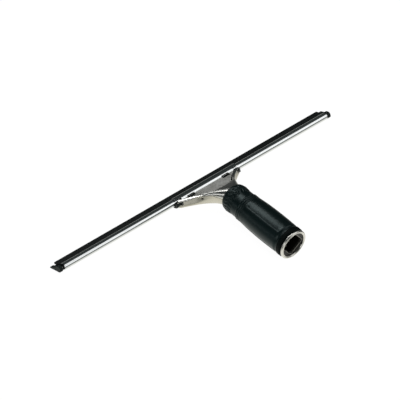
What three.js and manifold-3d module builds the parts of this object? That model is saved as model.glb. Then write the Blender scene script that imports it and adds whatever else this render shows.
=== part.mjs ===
// Window cleaning squeegee: rubber blade in a steel channel, held in the jaw of a handle.
// Millimetres. +X runs along the blade, -Y towards the end of the grip, +Z up.
// The tool lies on a flat surface, touching it with the rubber's edge and the grip's end bead.

import * as THREE from 'three';
import { mergeVertices } from 'three/addons/utils/BufferGeometryUtils.js';
import Module from 'manifold-3d';

const wasm = await Module();
wasm.setup();

// ---- driving dimensions ----
const RAD = Math.PI / 180;
const CLEARANCE = 0.3;
const JOIN_OVERLAP = 1;

const CHANNEL_LENGTH = 350;
const HANDLE_OFFSET = 12.7;
const BLADE_TILT = 23 * RAD;
const GRIP_SLOPE = 1.6 * RAD;
const BEND = BLADE_TILT + GRIP_SLOPE;

const RUBBER_THICKNESS = 2;
const CHANNEL_SHEET = 0.8;
const CHANNEL_FRONT = 11;
const CHANNEL_TOP = 3.1;
const CHANNEL_BACK = 16.5;
const CHANNEL_BOTTOM = -3.6;
const CHANNEL_MIDDLE = 0.2;
const CHANNEL_SHOULDER = 13.5;
const CHANNEL_HEEL = 13.7;
const CHANNEL_LIP = { reach: 0.7, drop: 0.25 };
const CHANNEL_HOOK = [[12.5, -2.8], [11.8, -1.9], [11.6, -0.7]];
const RUBBER_NECK = 12.4;
const RUBBER_BEAD = [[14.2, 1.7], [15.1, 0.8], [15.2, -0.3], [14.4, -1.2], [12.9, -1.3]];

const CLIP_FLANGE = 3.5;
const CLIP_PULLED_OUT = 3.2;
const CLIP_TONGUE = { length: 14, front: 12.8, rear: 14.5, low: -2.5, high: -1.65 };
const CLIP_SHELF = [[1.9, -0.55], [10.4, -1.6], [10.4, -0.3], [1.7, -0.3]];
const CLIP_SHELF_REACH = 4;
const CLIP_OUTLINE = [
  [1.5, -0.5], [8, -1.5], [14, -2.7], [16, -2.6], [17, -1.2], [17.1, 1.2],
  [16.2, 2.8], [14.4, 3.3], [11.4, 3.3], [10.6, 2.6], [10.4, 1.6], [2.6, 1.2], [1.4, 0.5],
];

const LINER_FRONT = 12.7;
const LINER_SHEET = 0.45;
const LINER_REAR = 18.4;
const LINER_TOP = 1.4;
const CHEEK_SHEET = 0.6;
const CHEEK_LAP = 0.5;
const CHEEK_TOP = 0.6;
const CHEEK_FLOOR = -4.9;
const CHEEK_REAR = 22.8;

const HEAD_SHEET = 1;
const PAN_FRONT = 18.9;
const JAW_LIP = { front: 14.6, inset: 3, sheet: 0.95 };
const TRIM_GAP = 0.2;
const RIM_WIDTH = 2.5;
const THROAT_START = 40.5;
const THROAT_END = 45.3;

const BAR_HALF = 41.4;
const BAR_FRONT = 11.5;
const BAR_TOP = 4.4;
const BAR_REAR = 17.3;
const PLATE_GAP = 1.4;
const PLATE_REAR = 36;
const PLATE_LEVEL = 0.3;
const BAR_BACK = { w: 16.2, drop: 1.9, width: 2.1 };
const BAR_FOOT = { w: 19.7, h: 2.4, radius: 1.1 };
const LEVER_SPAN = [-2, 8];
const WINDOW_SPAN = [-2, 3];
const WINDOW_INNER = 18;
const WINDOW_OUTER = 27.6;
const WINDOW_FRONT = 18.6;
const WINDOW_REAR = 22.7;

const PIN = { w: 21.2, h: -1.2, radius: 1.1, half: 37 };
const SPRING_WIRE = 0.8;
const SPRING_TURNS = 5;
const SPRING_PITCH = 1.28;
const UPPER_LEG = [[29, -0.4], [25, -0.15]];
const LOWER_LEG = [[2.2, 0.3], [4, 0.4]];
const LUG_RADIUS = 2.1;
const LUG_THICKNESS = 1.6;
const LUG_PLACES = [-31, -14, 14, 31];
const LUG_NECK = { front: 19.4, rear: 23, top: 1.2 };
const CORNER_TRIM = [[17.9, -3.4], [17.9, -7.5], [22.4, -7.5]];
const WEEP_HOLE = { w: 35, h: 0.2, radius: 1, half: 30 };

const COLLAR = { w: 53.3, h: -2.25, radius: 11.4 };
const TUBE_LENGTH = 89.7;
const TUBE_WALL = 1;
const TUBE_END_RADIUS = 14.2;
const TAPER_START = 20;
const TAPER_LENGTH = 60;
const LIP_RADIUS = 16.1;
const LIP_LENGTH = 3;
const BEAD_RADIUS = 16.45;
const BEAD_END = 85.4;
const GRIP_END = 86.2;
const SOCKET_DEPTH = 44;
const SOCKET_RIM = 0.8;
const SOCKET_RECESS = 2.6;
const SOCKET_FLOOR = 2;
const SOCKET_MOUTH_HALF = 8.2;
const SOCKET_INNER_HALF = 7.2;
const SOCKET_TURN = 39 * RAD;
const ROUND_SIDES = 40;

// ---- cross-sections of the head, from the jaw to the collar ----
// w runs from the rubber's edge along the blade's plane, tilt leans the section with the bend.
// The pan reaches from its floor up to the seam, the saddle from its skirt up to the crown.
const COLLAR_SECTION = {
  w: COLLAR.w - COLLAR.h * Math.tan(BEND),
  tilt: BEND,
  half: COLLAR.radius,
  floor: -13.87,
  seam: -1.5,
  skirt: -1.2,
  crown: 8.93,
  corner: COLLAR.radius,
};
const HEAD_SECTIONS = [
  { w: PAN_FRONT, tilt: 0, half: 41, floor: -5.6, seam: 0.9, skirt: 1.6, crown: 3, corner: 3 },
  { w: 24, tilt: 0, half: 34, floor: -5.8, seam: 0.9, skirt: 2, crown: 3.4, corner: 3.2 },
  { w: 30, tilt: 0, half: 26.5, floor: -6.4, seam: 2.2, skirt: 2.5, crown: 4, corner: 4 },
  { w: 36, tilt: 5 * RAD, half: 21.1, floor: -7.6, seam: 2.7, skirt: 3, crown: 4.9, corner: 6.5 },
  { w: 44, tilt: 15 * RAD, half: 16, floor: -10.4, seam: 2.4, skirt: 2.7, crown: 7.2, corner: 10.5 },
  COLLAR_SECTION,
];
const HEAD_STEPS = 18;
const HEAD_HEIGHT = 20;

// ---- small geometry tools ----
function solidFrom(positions, triangles) {
  const geometry = new THREE.BufferGeometry();
  geometry.setAttribute('position', new THREE.Float32BufferAttribute(positions, 3));
  geometry.setIndex(triangles);
  return geometry;
}

function bare(geometry) {
  const copy = geometry.clone();
  copy.deleteAttribute('normal');
  copy.deleteAttribute('uv');
  return mergeVertices(copy, 1e-4);
}

function toManifold(geometry) {
  const merged = bare(geometry);
  return new wasm.Manifold(new wasm.Mesh({
    numProp: 3,
    vertProperties: new Float32Array(merged.attributes.position.array),
    triVerts: new Uint32Array(merged.index.array),
  }));
}

function fromManifold(manifold) {
  const mesh = manifold.getMesh();
  return solidFrom(Array.from(mesh.vertProperties), Array.from(mesh.triVerts));
}

function join(first, ...others) {
  const start = toManifold(first);
  return fromManifold(others.reduce((sum, next) => sum.add(toManifold(next)), start));
}

function cut(first, ...others) {
  const start = toManifold(first);
  return fromManifold(others.reduce((rest, next) => rest.subtract(toManifold(next)), start));
}

function common(first, second) {
  return fromManifold(toManifold(first).intersect(toManifold(second)));
}

function signedVolume(geometry) {
  const p = geometry.attributes.position;
  const index = geometry.index;
  const [a, b, c] = [new THREE.Vector3(), new THREE.Vector3(), new THREE.Vector3()];
  let total = 0;
  for (let i = 0; i < index.count; i += 3) {
    a.fromBufferAttribute(p, index.getX(i));
    b.fromBufferAttribute(p, index.getX(i + 1));
    c.fromBufferAttribute(p, index.getX(i + 2));
    total += a.dot(b.cross(c)) / 6;
  }
  return total;
}

function facingOut(geometry) {
  if (signedVolume(geometry) >= 0) return geometry;
  const order = Array.from(geometry.index.array);
  for (let i = 0; i < order.length; i += 3) [order[i], order[i + 1]] = [order[i + 1], order[i]];
  geometry.setIndex(order);
  return geometry;
}

// Skin over equal-count outlines, each placed in space by its own function, with flat end caps.
function loft(outlines, places) {
  const count = outlines[0].length;
  const positions = [];
  outlines.forEach((outline, k) => outline.forEach((p) => positions.push(...places[k](p).toArray())));
  const triangles = [];
  for (let k = 0; k + 1 < outlines.length; k += 1) {
    for (let i = 0; i < count; i += 1) {
      const a = k * count + i;
      const b = k * count + ((i + 1) % count);
      triangles.push(a, b, b + count, a, b + count, a + count);
    }
  }
  const last = (outlines.length - 1) * count;
  const endCaps = [[outlines[0], 0, true], [outlines[outlines.length - 1], last, false]];
  for (const [outline, base, flipped] of endCaps) {
    const clockwise = THREE.ShapeUtils.isClockWise(outline);
    for (const [i, j, k] of THREE.ShapeUtils.triangulateShape(outline, [])) {
      if (flipped !== clockwise) triangles.push(base + i, base + k, base + j);
      else triangles.push(base + i, base + j, base + k);
    }
  }
  return facingOut(solidFrom(positions, triangles));
}

// A ribbon of sheet of even thickness around a centre line.
function sheetOutline(line, thickness) {
  const left = [];
  const right = [];
  line.forEach((point, i) => {
    const before = line[Math.max(i - 1, 0)];
    const after = line[Math.min(i + 1, line.length - 1)];
    const normal = after.clone().sub(before).normalize();
    normal.set(-normal.y, normal.x).multiplyScalar(thickness / 2);
    left.push(point.clone().add(normal));
    right.unshift(point.clone().sub(normal));
  });
  return [...left, ...right];
}

function arc(cx, cy, rx, ry, from, to, steps) {
  const points = [];
  for (let i = 0; i <= steps; i += 1) {
    const angle = from + ((to - from) * i) / steps;
    points.push(new THREE.Vector2(cx + rx * Math.cos(angle), cy + ry * Math.sin(angle)));
  }
  return points;
}

// Extrude a (w, h) outline along X between two places.
function alongBlade(outline, x0, x1) {
  return loft([outline, outline], [x0, x1].map((x) => (p) => new THREE.Vector3(x, -p.x, p.y)));
}

// Extrude an (x, w) outline straight up between two heights.
function upward(outline, h0, h1) {
  return loft([outline, outline], [h0, h1].map((h) => (p) => new THREE.Vector3(p.x, -p.y, h)));
}

function disc(w, h, radius, x0, x1, sides = 16) {
  return alongBlade(arc(w, h, radius, radius, 0, (2 * Math.PI * (sides - 1)) / sides, sides - 1), x0, x1);
}

function box(w0, w1, h0, h1, x0, x1) {
  const corners = [[w0, h0], [w1, h0], [w1, h1], [w0, h1]];
  return alongBlade(corners.map(([w, h]) => new THREE.Vector2(w, h)), x0, x1);
}

function turned(profile) {
  const points = profile.map(([radius, along]) => new THREE.Vector2(radius, along));
  points.push(points[0].clone());
  return facingOut(bare(new THREE.LatheGeometry(points, ROUND_SIDES)));
}

// ---- sections of the head ----
function headSection(t) {
  const last = HEAD_SECTIONS.length - 1;
  const place = Math.min(Math.floor(t * last), last - 1);
  const local = t * last - place;
  const pick = (i) => HEAD_SECTIONS[Math.min(Math.max(i, 0), last)];
  const [p0, p1, p2, p3] = [place - 1, place, place + 1, place + 2].map(pick);
  const section = {};
  for (const key of Object.keys(p1)) {
    const m1 = (p2[key] - p0[key]) / 2;
    const m2 = (p3[key] - p1[key]) / 2;
    const cubic = 2 * p1[key] - 2 * p2[key] + m1 + m2;
    const square = -3 * p1[key] + 3 * p2[key] - 2 * m1 - m2;
    section[key] = ((cubic * local + square) * local + m1) * local + p1[key];
  }
  return section;
}

function headSections() {
  const sections = [];
  for (let i = 0; i <= HEAD_STEPS; i += 1) sections.push(headSection(i / HEAD_STEPS));
  sections.forEach((section, i) => {
    const before = sections[Math.max(i - 1, 0)];
    const after = sections[Math.min(i + 1, HEAD_STEPS)];
    const slope = (after.half - before.half) / (after.w - before.w);
    section.stretch = Math.sqrt(1 + slope * slope);
  });
  return sections;
}

// Half-outline of the head seen from above, drawn in by a distance square to its edge.
function headPlan(inset, wStart, wEnd) {
  const points = headSections()
    .filter((s) => s.w > wStart && s.w < wEnd)
    .map((s) => new THREE.Vector2(s.half - inset * s.stretch, s.w));
  return [new THREE.Vector2(points[0].x, wStart), ...points];
}

function mirrored(half) {
  const other = half.map((p) => new THREE.Vector2(-p.x, p.y)).reverse();
  return [...half, ...other];
}

// A U of sheet between two side edges: walls, round corners and floor (or crown).
function sheetU(half, edge, base, corner, stretch, wall) {
  const up = Math.sign(edge - base);
  const ring = (a, b, r) => {
    const radius = Math.max(Math.min(r, a - 0.2, Math.abs(edge - b)), 0.2);
    const centre = b + up * radius;
    const side = arc(a - radius, centre, radius, up * radius, 0, -Math.PI / 2, 6);
    const right = [new THREE.Vector2(a, edge), ...side];
    const left = right.map((p) => new THREE.Vector2(-p.x, p.y)).reverse();
    return [...right, ...left];
  };
  const outer = ring(half, base, corner);
  const inner = ring(half - wall * stretch, base + up * wall, corner - wall);
  return [...outer, ...inner.reverse()];
}

function headPlace(section) {
  const lean = Math.sin(section.tilt);
  const rise = Math.cos(section.tilt);
  return (p) => new THREE.Vector3(p.x, -(section.w + p.y * lean), p.y * rise);
}

// ---- blade ----
function channelGeometry() {
  const t = CHANNEL_SHEET / 2;
  const top = CHANNEL_TOP - t;
  const back = CHANNEL_BACK - t;
  const bottom = CHANNEL_BOTTOM + t;
  const roof = [CHANNEL_SHOULDER, CHANNEL_MIDDLE, back - CHANNEL_SHOULDER, top - CHANNEL_MIDDLE];
  const heel = [CHANNEL_HEEL, CHANNEL_MIDDLE, back - CHANNEL_HEEL, CHANNEL_MIDDLE - bottom];
  const line = [
    new THREE.Vector2(CHANNEL_FRONT, top - CHANNEL_LIP.drop),
    new THREE.Vector2(CHANNEL_FRONT + CHANNEL_LIP.reach, top),
    ...arc(...roof, Math.PI / 2, 0, 6),
    ...arc(...heel, -Math.PI / 8, -Math.PI / 2, 5),
    ...CHANNEL_HOOK.map(([w, h]) => new THREE.Vector2(w, h)),
  ];
  return alongBlade(sheetOutline(line, CHANNEL_SHEET), -CHANNEL_LENGTH / 2, CHANNEL_LENGTH / 2);
}

function rubberGeometry() {
  const outline = [
    [0, 0], [0, RUBBER_THICKNESS], [RUBBER_NECK, RUBBER_THICKNESS], ...RUBBER_BEAD, [RUBBER_NECK, 0],
  ].map(([w, h]) => new THREE.Vector2(w, h));
  return alongBlade(outline, -CHANNEL_LENGTH / 2, CHANNEL_LENGTH / 2);
}

// side is -1 for the left end, +1 for the right end; gap is the space left to the channel's end.
// The tongue slides in the channel and the shelf slides under the rubber.
function clipGeometry(side, gap) {
  const end = CHANNEL_LENGTH / 2;
  const spans = (from, to) => [side * from, side * to].sort((a, b) => a - b);
  const face = end + gap;
  const outside = face + CLIP_FLANGE;
  const flange = CLIP_OUTLINE.map(([w, h]) => new THREE.Vector2(w, h));
  const { length, front, rear, low, high } = CLIP_TONGUE;
  const tongue = box(front, rear, low, high, ...spans(end - length, face + JOIN_OVERLAP));
  const shelf = CLIP_SHELF.map(([w, h]) => new THREE.Vector2(w, h));
  return join(
    alongBlade(flange, ...spans(face, outside)),
    alongBlade(shelf, ...spans(end - CLIP_SHELF_REACH, face + JOIN_OVERLAP)),
    tongue,
  );
}

// ---- head ----
function panGeometry() {
  const sections = headSections();
  const outlines = sections.map((s) => sheetU(s.half, s.seam, s.floor, s.corner, s.stretch, HEAD_SHEET));
  const shell = loft(outlines, sections.map(headPlace));
  const floor = HEAD_SECTIONS[0].floor;
  const lipHalf = HEAD_SECTIONS[0].half - JAW_LIP.inset;
  const lip = box(JAW_LIP.front, PAN_FRONT + JOIN_OVERLAP, floor, floor + JAW_LIP.sheet, -lipHalf, lipHalf);
  const pinHole = disc(PIN.w, PIN.h, PIN.radius + CLEARANCE, -BAR_HALF - 1, BAR_HALF + 1);
  const corner = CORNER_TRIM.map(([w, h]) => new THREE.Vector2(w, h));
  const trims = [[-BAR_HALF - 2, -lipHalf - TRIM_GAP], [lipHalf + TRIM_GAP, BAR_HALF + 2]]
    .map(([from, to]) => alongBlade(corner, from, to));
  const { w, h, radius, half } = WEEP_HOLE;
  const weepHole = disc(w, h, radius, -half, half, 10);
  return cut(join(shell, lip), pinHole, weepHole, ...trims);
}

function saddleGeometry() {
  const sections = headSections();
  const outlines = sections.map((s) => {
    return sheetU(s.half, s.skirt, s.crown, Math.min(s.corner, s.crown - s.skirt), s.stretch, HEAD_SHEET);
  });
  const shell = loft(outlines, sections.map(headPlace));
  const sides = headPlan(RIM_WIDTH, PAN_FRONT - 2, THROAT_START);
  const last = sides[sides.length - 1];
  const throat = arc(0, last.y, last.x, THROAT_END - last.y, 0, Math.PI, 12).slice(1, -1);
  const opening = [...sides, ...throat, ...sides.map((p) => new THREE.Vector2(-p.x, p.y)).reverse()];
  return cut(shell, upward(opening, -1, HEAD_HEIGHT));
}

// Strip under and behind the channel, with a cheek that wraps each front corner of the pan.
function linerGeometry() {
  const under = CHANNEL_BOTTOM - CLEARANCE;
  const low = under - LINER_SHEET;
  const behind = CHANNEL_BACK + CLEARANCE;
  const foot = box(LINER_FRONT, LINER_REAR, low, under, -BAR_HALF, BAR_HALF);
  const back = box(behind, LINER_REAR, low, LINER_TOP, -BAR_HALF, BAR_HALF);
  const cheeks = [-1, 1].flatMap((side) => {
    const ends = [side * (BAR_HALF - CHEEK_LAP), side * (BAR_HALF + CHEEK_SHEET)].sort((a, b) => a - b);
    return [
      box(LINER_FRONT, behind + CHEEK_LAP, CHEEK_FLOOR, under, ...ends),
      box(behind, LINER_REAR, low, CHEEK_TOP, ...ends),
      cheekGeometry(side, low),
    ];
  });
  return join(foot, back, ...cheeks);
}

// The curved part of a cheek, outside the pan's wall; its lower edge rises to the rear.
function cheekGeometry(side, start) {
  const wall = headSections().filter((s) => s.w > LINER_REAR && s.w < CHEEK_REAR);
  const first = { ...wall[0], w: LINER_REAR - 0.2 };
  const outlines = [first, ...wall].map((s) => {
    const rise = Math.max(0, (s.w - LINER_REAR) / (CHEEK_REAR - LINER_REAR));
    const low = start + (CHEEK_TOP - start) * rise;
    const inner = side * (s.half + CLEARANCE * s.stretch);
    const outer = side * (s.half + (CLEARANCE + CHEEK_SHEET) * s.stretch);
    return [[inner, low], [outer, low], [outer, CHEEK_TOP], [inner, CHEEK_TOP]]
      .map(([x, h]) => new THREE.Vector2(x, h));
  });
  const places = [first, ...wall].map((s) => (p) => new THREE.Vector3(p.x, -s.w, p.y));
  return loft(outlines, places);
}

function leverGeometry() {
  const half = HEAD_SHEET / 2;
  const top = BAR_TOP - half;
  const line = [
    new THREE.Vector2(BAR_FRONT, top),
    ...arc(BAR_BACK.w, top - BAR_BACK.drop, BAR_BACK.width, BAR_BACK.drop, Math.PI / 2, Math.PI / 10, 5),
    ...arc(BAR_FOOT.w, BAR_FOOT.h, BAR_FOOT.radius, BAR_FOOT.radius, Math.PI * 1.15, Math.PI * 1.5, 4),
    new THREE.Vector2(PLATE_REAR, PLATE_LEVEL),
  ];
  const sheet = alongBlade(sheetOutline(line, HEAD_SHEET), -BAR_HALF, BAR_HALF);
  const plate = mirrored(headPlan(RIM_WIDTH + PLATE_GAP, BAR_REAR - 0.1, PLATE_REAR + 1));
  const bar = mirrored([BAR_FRONT - 1, BAR_REAR].map((w) => new THREE.Vector2(BAR_HALF, w)));
  const plan = join(...[plate, bar].map((outline) => upward(outline, ...LEVER_SPAN)));
  const windows = [-1, 1].map((side) => {
    const ends = [side * WINDOW_INNER, side * WINDOW_OUTER].sort((a, b) => a - b);
    return box(WINDOW_FRONT, WINDOW_REAR, ...WINDOW_SPAN, ...ends);
  });
  const lugs = LUG_PLACES.flatMap((x) => {
    const ends = [x - LUG_THICKNESS / 2, x + LUG_THICKNESS / 2];
    const neck = box(LUG_NECK.front, LUG_NECK.rear, PIN.h, LUG_NECK.top, ...ends);
    return [disc(PIN.w, PIN.h, LUG_RADIUS, ...ends), neck];
  });
  const pinHole = disc(PIN.w, PIN.h, PIN.radius + CLEARANCE, -BAR_HALF, BAR_HALF);
  return cut(join(cut(common(sheet, plan), ...windows), ...lugs), pinHole);
}

function pinGeometry() {
  const r = PIN.radius;
  const profile = [[0, -PIN.half], [r * 0.6, -PIN.half], [r, -PIN.half + 0.5]];
  const other = profile.map(([radius, along]) => [radius, -along]).reverse();
  const points = [...profile, ...other].map(([radius, along]) => new THREE.Vector2(radius, along));
  return facingOut(bare(new THREE.LatheGeometry(points, 16)));
}

// Torsion spring on the pin: one leg under the lever's plate, the other on the pan's floor.
function springGeometry(side) {
  const coil = PIN.radius + CLEARANCE + SPRING_WIRE / 2;
  const start = side * (WINDOW_INNER + 0.9);
  const points = UPPER_LEG.map(([w, h]) => new THREE.Vector3(start, -w, h));
  const stepsPerTurn = 10;
  const total = SPRING_TURNS * stepsPerTurn;
  for (let i = 0; i <= total + 5; i += 1) {
    const angle = Math.PI / 3 + (2 * Math.PI * i) / stepsPerTurn;
    const x = start + (side * SPRING_PITCH * i) / stepsPerTurn;
    points.push(new THREE.Vector3(x, -(PIN.w + coil * Math.cos(angle)), PIN.h + coil * Math.sin(angle)));
  }
  const end = points[points.length - 1].x;
  for (const [back, drop] of LOWER_LEG) {
    points.push(new THREE.Vector3(end, -(PIN.w + back), PIN.h - coil - drop));
  }
  const wire = new THREE.Shape(arc(0, 0, SPRING_WIRE / 2, SPRING_WIRE / 2, 0, (10 * Math.PI) / 6, 5));
  const path = new THREE.CatmullRomCurve3(points, false, 'centripetal');
  const steps = 2 * points.length;
  const options = { steps, bevelEnabled: false, extrudePath: path };
  return facingOut(bare(new THREE.ExtrudeGeometry(wire, options)));
}

// ---- handle ----
function tubeRadius(along) {
  const share = Math.min(Math.max((along - TAPER_START) / TAPER_LENGTH, 0), 1);
  return COLLAR.radius - 0.05 + (TUBE_END_RADIUS - COLLAR.radius) * share;
}

function tubeGeometry() {
  const lipStart = TUBE_LENGTH - LIP_LENGTH;
  const outer = [0.6, 20, 50, 80, lipStart].map((s) => [tubeRadius(s), s]);
  const inner = [80, 50, 20, 0.6].map((s) => [tubeRadius(s) - TUBE_WALL, s]);
  const lip = [
    [LIP_RADIUS - 0.5, lipStart], [LIP_RADIUS, lipStart + 0.6], [LIP_RADIUS, TUBE_LENGTH - 0.7],
    [LIP_RADIUS - 0.6, TUBE_LENGTH], [TUBE_END_RADIUS - TUBE_WALL + 0.4, TUBE_LENGTH],
    [TUBE_END_RADIUS - TUBE_WALL, TUBE_LENGTH - 0.5],
  ];
  return turned([...outer, ...lip, ...inner]);
}

function gripGeometry() {
  const outer = [
    [12, 0], [13, 0.4], [14.3, 2.6], [15.2, 6.7], [14.9, 9.5], [14.5, 13], [14.5, 20], [14.7, 24],
    [15.4, 30], [16.05, 39], [16.5, 54], [16.5, 68], [16.2, 77], [15.7, 78.4], [15.9, 79.6],
    [BEAD_RADIUS, 80.6], [BEAD_RADIUS, BEAD_END], [16, GRIP_END],
  ];
  const inner = [GRIP_END, 80, 50, 20, 0].map((s) => [tubeRadius(s) + CLEARANCE, s]);
  return turned([...outer, ...inner]);
}

// Tapered insert for a pole: round outside with a dished face, square with round corners inside.
function socketGeometry() {
  const mouth = TUBE_LENGTH - SOCKET_RECESS;
  const rim = TUBE_LENGTH - SOCKET_RIM;
  const bottom = TUBE_LENGTH - SOCKET_DEPTH - SOCKET_FLOOR;
  const outerAt = (s) => tubeRadius(s) - TUBE_WALL - CLEARANCE;
  const body = turned([
    [0, bottom], [outerAt(bottom), bottom], [outerAt(rim), rim], [SOCKET_MOUTH_HALF, mouth], [0, mouth],
  ]);
  const roundSquare = (half, corner) => {
    const inset = half - corner;
    return [[1, 1, 0], [-1, 1, 1], [-1, -1, 2], [1, -1, 3]].flatMap(([sx, sz, quarter]) => {
      const from = (quarter * Math.PI) / 2;
      return arc(sx * inset, sz * inset, corner, corner, from, from + Math.PI / 2, 5);
    });
  };
  const turn = (p) => p.rotateAround(new THREE.Vector2(), -SOCKET_TURN);
  const outlines = [roundSquare(SOCKET_INNER_HALF, 1.6), roundSquare(SOCKET_MOUTH_HALF, 1.8)]
    .map((outline) => outline.map(turn));
  const places = [TUBE_LENGTH - SOCKET_DEPTH, TUBE_LENGTH + 1]
    .map((s) => (p) => new THREE.Vector3(p.x, s, p.y));
  return cut(body, loft(outlines, places));
}

// ---- materials ----
function metal(colour, roughness) {
  return new THREE.MeshStandardMaterial({ color: colour, roughness, metalness: 1 });
}

function plain(colour, roughness) {
  return new THREE.MeshStandardMaterial({ color: colour, roughness, metalness: 0 });
}

const polishedSteel = metal(0xd8dad6, 0.15);
const satinSteel = metal(0xa9aaa2, 0.38);
const springSteel = metal(0x8d8f8e, 0.3);
const bladeRubber = plain(0x15181a, 0.55);
const gripRubber = plain(0x26302f, 0.5);
const blackPlastic = plain(0x0e0f10, 0.45);

// ---- assembly ----
const squeegee = new THREE.Group();
const blade = new THREE.Group();
const head = new THREE.Group();
const handle = new THREE.Group();

function add(group, name, geometry, material) {
  const mesh = new THREE.Mesh(geometry, material);
  mesh.name = name;
  group.add(mesh);
  return mesh;
}

add(blade, 'channel', channelGeometry(), polishedSteel);
add(blade, 'rubber_blade', rubberGeometry(), bladeRubber);
add(blade, 'end_clip_left', clipGeometry(-1, CLEARANCE + CLIP_PULLED_OUT), blackPlastic);
add(blade, 'end_clip_right', clipGeometry(1, CLEARANCE), blackPlastic);

add(head, 'lower_pan', panGeometry(), satinSteel);
add(head, 'upper_saddle', saddleGeometry(), polishedSteel);
add(head, 'jaw_liner', linerGeometry(), blackPlastic);
add(head, 'clamp_lever', leverGeometry(), satinSteel);
const pin = add(head, 'hinge_pin', pinGeometry(), springSteel);
pin.rotation.z = Math.PI / 2;
pin.position.set(0, -PIN.w, PIN.h);
add(head, 'spring_left', springGeometry(-1), springSteel);
add(head, 'spring_right', springGeometry(1), springSteel);

add(handle, 'handle_tube', tubeGeometry(), polishedSteel);
add(handle, 'rubber_grip', gripGeometry(), gripRubber);
add(handle, 'pole_socket', socketGeometry(), blackPlastic);

// The blade and head lean together; the grip's bead sets how high its axis lies.
blade.rotation.x = -BLADE_TILT;
head.rotation.x = -BLADE_TILT;
head.position.x = HANDLE_OFFSET;
handle.rotation.x = Math.PI + GRIP_SLOPE;
handle.position.set(
  HANDLE_OFFSET,
  -COLLAR.w * Math.cos(BLADE_TILT) + COLLAR.h * Math.sin(BLADE_TILT),
  BEAD_RADIUS * Math.cos(GRIP_SLOPE) + BEAD_END * Math.sin(GRIP_SLOPE),
);

// The row's origin is at the middle of the bounding box, on the surface the tool lies on.
const whole = new THREE.Group();
whole.add(blade, head, handle);
squeegee.add(whole);
squeegee.updateMatrixWorld(true);
const bounds = new THREE.Box3().setFromObject(whole, true);
whole.position.set(-(bounds.min.x + bounds.max.x) / 2, -(bounds.min.y + bounds.max.y) / 2, -bounds.min.z);

export default squeegee;
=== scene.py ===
"""A window cleaning squeegee lying on a pale floor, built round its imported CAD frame."""

import math

import bmesh
import bpy
from mathutils import Matrix, Vector


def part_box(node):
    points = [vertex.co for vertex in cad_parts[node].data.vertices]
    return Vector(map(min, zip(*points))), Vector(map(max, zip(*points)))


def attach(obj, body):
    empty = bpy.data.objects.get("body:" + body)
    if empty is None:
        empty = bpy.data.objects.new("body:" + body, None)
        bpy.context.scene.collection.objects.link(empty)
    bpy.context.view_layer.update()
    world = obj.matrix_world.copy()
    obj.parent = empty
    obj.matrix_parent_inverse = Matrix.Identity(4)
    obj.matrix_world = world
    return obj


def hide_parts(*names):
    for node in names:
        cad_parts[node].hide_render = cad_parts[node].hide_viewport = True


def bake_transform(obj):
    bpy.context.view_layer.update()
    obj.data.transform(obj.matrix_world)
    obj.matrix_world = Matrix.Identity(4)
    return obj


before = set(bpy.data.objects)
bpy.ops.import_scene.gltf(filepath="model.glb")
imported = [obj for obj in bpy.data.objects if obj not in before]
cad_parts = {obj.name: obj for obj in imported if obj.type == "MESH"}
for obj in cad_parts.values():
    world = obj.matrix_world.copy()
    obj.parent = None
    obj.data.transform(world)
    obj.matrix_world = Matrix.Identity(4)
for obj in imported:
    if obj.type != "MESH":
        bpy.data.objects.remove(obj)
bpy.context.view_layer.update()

MM = 0.001

# ---- sizes in millimetres; those that the CAD also has are the same there ----
BLADE_TILT = math.radians(23)
GRIP_SLOPE = math.radians(1.6)
BEND = BLADE_TILT + GRIP_SLOPE
CLEARANCE = 0.3

CHANNEL_LENGTH = 350
RUBBER_THICKNESS = 2
CHANNEL_SHEET = 0.8
CHANNEL_FRONT = 11
CHANNEL_TOP = 3.1
CHANNEL_BACK = 16.5
CHANNEL_BOTTOM = -3.6
CHANNEL_MIDDLE = 0.2
CHANNEL_TOP_FLAT_END = 13.5
CHANNEL_BOTTOM_FLAT_END = 13.7
CHANNEL_LOWER_LIP = ((12.9, -3.08), (12.2, -2.5), (11.75, -1.7), (11.6, -0.75))
# How far behind the front edge, and how far below the top of the sheet.
CHANNEL_EDGE_DIP = ((0, 0.28), (0.9, 0.03), (1.2, 0))
RUBBER_OUTLINE = (
    (0, 0), (0, RUBBER_THICKNESS), (12.4, RUBBER_THICKNESS), (14.2, 1.7), (15.1, 0.8),
    (15.2, -0.3), (14.4, -1.2), (12.9, -1.3), (12.4, 0),
)

CLIP_FLANGE = 3.5
CLIP_PULLED_OUT = 3.2
CLIP_TONGUE = 14
CLIP_TONGUE_OUTLINE = ((12.8, -2.5), (14.5, -2.5), (14.5, -1.65), (12.8, -1.65))
CLIP_ROOT = 1
CLIP_SHELF = ((1.9, -0.55), (10.4, -1.6), (10.4, -0.3), (1.7, -0.3))
CLIP_SHELF_REACH = 4
CLIP_OUTLINE = (
    (1.5, -0.5), (8, -1.5), (14, -2.7), (16, -2.6), (17, -1.2), (17.1, 1.2),
    (16.2, 2.8), (14.4, 3.3), (11.4, 3.3), (10.6, 2.6), (10.4, 1.6), (2.6, 1.2), (1.4, 0.5),
)

# Black liner under the jaw and cheeks beside it: dark pieces that stand in for the shade there.
SHADE_LINER_FRONT = 12.7
SHADE_LINER_SHEET = 0.45
SHADE_LINER_REAR = 18.4
SHADE_LINER_TOP = 1.4
SHADE_CHEEK_SHEET = 0.6
SHADE_CHEEK_TOP = 0.6
SHADE_CHEEK_FLOOR = -4.9
SHADE_CHEEK_REAR = 22.8

HEAD_SHEET = 1
PAN_FRONT = 18.9
JAW_LIP_FRONT = 14.6
JAW_LIP_SHEET = 0.9
JAW_LIP_INSET = 3
JAW_LIP_LAP = 0.2
RIM_WIDTH = 2.5
RIM_SLOPE = 2.5
RIM_FLATNESS = 0.7
THROAT_START = 40.5
THROAT_END = 45.3

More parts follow.
